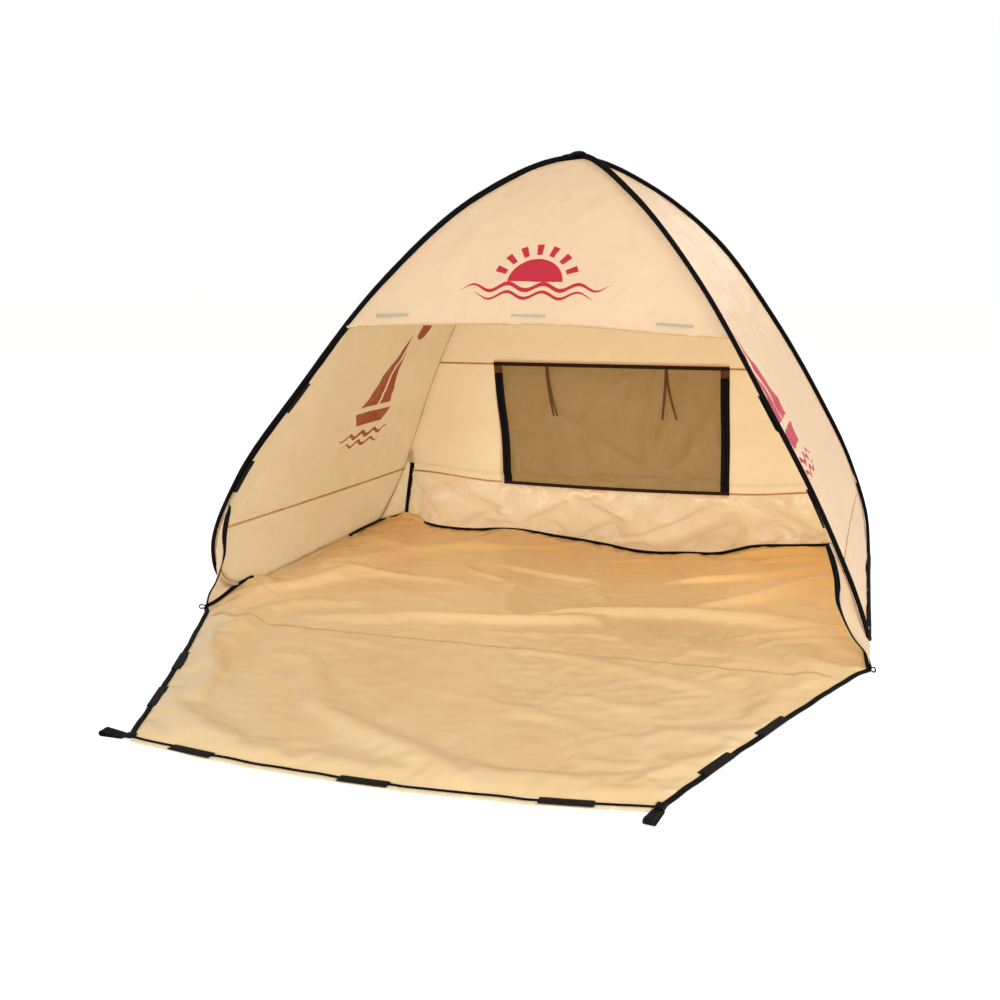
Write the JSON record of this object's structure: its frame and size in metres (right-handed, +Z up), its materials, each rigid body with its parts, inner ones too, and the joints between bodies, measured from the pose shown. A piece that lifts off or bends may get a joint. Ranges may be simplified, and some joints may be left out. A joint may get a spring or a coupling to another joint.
{
  "type": "beach tent",
  "caption": "Pop-up beach shelter with an open front, a floor sheet, a fold-down front apron, a rear mesh window with a cover flap, and looped spring-wire legs in fabric sleeves.",
  "frame": {"origin": "on the ground under the middle of the floor sheet", "axes": "+Z up, -Y out through the open front, +X to the right of someone looking in along +Y"},
  "size_m": [2.0354, 2.3313, 1.4367],
  "materials": {
    "spring_steel": "drawn spring steel wire",
    "black_fabric": "black woven polyester tape and webbing",
    "sand_fabric": "sand-coloured coated polyester taffeta with a satin sheen",
    "floor_fabric": "darker sand coated polyester with a satin sheen",
    "mesh_fabric": "fine insect mesh, brown",
    "tie_tape": "narrow brown woven tape",
    "hook_tape": "pale grey hook-and-loop tape"
  },
  "bodies": {
    "shelter": {"back_wall_left": "sand_fabric", "back_wall_right": "sand_fabric", "back_wall_skirt": "sand_fabric", "back_wall_upper": "sand_fabric", "corner_loop_left": "black_fabric", "corner_loop_right": "black_fabric", "crown_patch": "black_fabric", "floor_back_piping": "black_fabric", "floor_binding_left": "black_fabric", "floor_binding_right": "black_fabric", "floor_sheet": "floor_fabric", "front_gusset_binding_left": "black_fabric", "front_gusset_binding_right": "black_fabric", "front_gusset_left": "sand_fabric", "front_gusset_right": "sand_fabric", "front_leg_sleeve_left": "black_fabric", "front_leg_sleeve_right": "black_fabric", "ground_sleeve_left": "black_fabric", "ground_sleeve_right": "black_fabric", "header_panel": "sand_fabric", "header_strip_left": "hook_tape", "header_strip_middle": "hook_tape", "header_strip_right": "hook_tape", "leg_tab_left_high": "black_fabric", "leg_tab_left_low": "black_fabric", "leg_tab_right_high": "black_fabric", "leg_tab_right_low": "black_fabric", "rear_gusset_binding_left": "black_fabric", "rear_gusset_binding_right": "black_fabric", "rear_gusset_left": "sand_fabric", "rear_gusset_right": "sand_fabric", "rear_leg_sleeve_left": "black_fabric", "rear_leg_sleeve_right": "black_fabric", "side_wall_base_left": "sand_fabric", "side_wall_base_right": "sand_fabric", "side_wall_left": "sand_fabric", "side_wall_right": "sand_fabric", "spring_wire": "spring_steel", "window_mesh": "mesh_fabric", "window_tape_left": "black_fabric", "window_tape_right": "black_fabric", "window_tie_inner_left": "tie_tape", "window_tie_inner_right": "tie_tape", "window_tie_outer_left": "tie_tape", "window_tie_outer_right": "tie_tape", "wire_ferrule": "spring_steel"},
    "door": {"door_binding_front": "black_fabric", "door_binding_left": "black_fabric", "door_binding_right": "black_fabric", "door_sheet": "floor_fabric", "door_tab_front_left": "black_fabric", "door_tab_front_middle": "black_fabric", "door_tab_front_right": "black_fabric", "door_tab_left_far": "black_fabric", "door_tab_left_near": "black_fabric", "door_tab_right_far": "black_fabric", "door_tab_right_near": "black_fabric"},
    "window_cover": {"window_flap": "sand_fabric"},
    "peg_loop_left_body": {"peg_loop_left": "black_fabric"},
    "peg_loop_right_body": {"peg_loop_right": "black_fabric"}
  },
  "joints": [
    {"name": "door_hinge", "type": "hinge", "parent": "shelter", "child": "door", "pos_m": [0, -0.655, 0.003], "axis": [-1, 0, 0], "range_deg": [0, 95]},
    {"name": "window_cover_hinge", "type": "hinge", "parent": "shelter", "child": "window_cover", "pos_m": [-0.017, 0.62006, 0.69136], "axis": [1, 0, 0], "range_deg": [0, 150]},
    {"name": "peg_loop_left_hinge", "type": "hinge", "parent": "door", "child": "peg_loop_left_body", "pos_m": [-0.61653, -1.51315, 0.0036], "axis": [0, 1, 0], "range_deg": [0, 90]},
    {"name": "peg_loop_right_hinge", "type": "hinge", "parent": "door", "child": "peg_loop_right_body", "pos_m": [0.60137, -1.52473, 0.0036], "axis": [-0.9903, 0.1392, 0], "range_deg": [0, 90]}
  ]
}
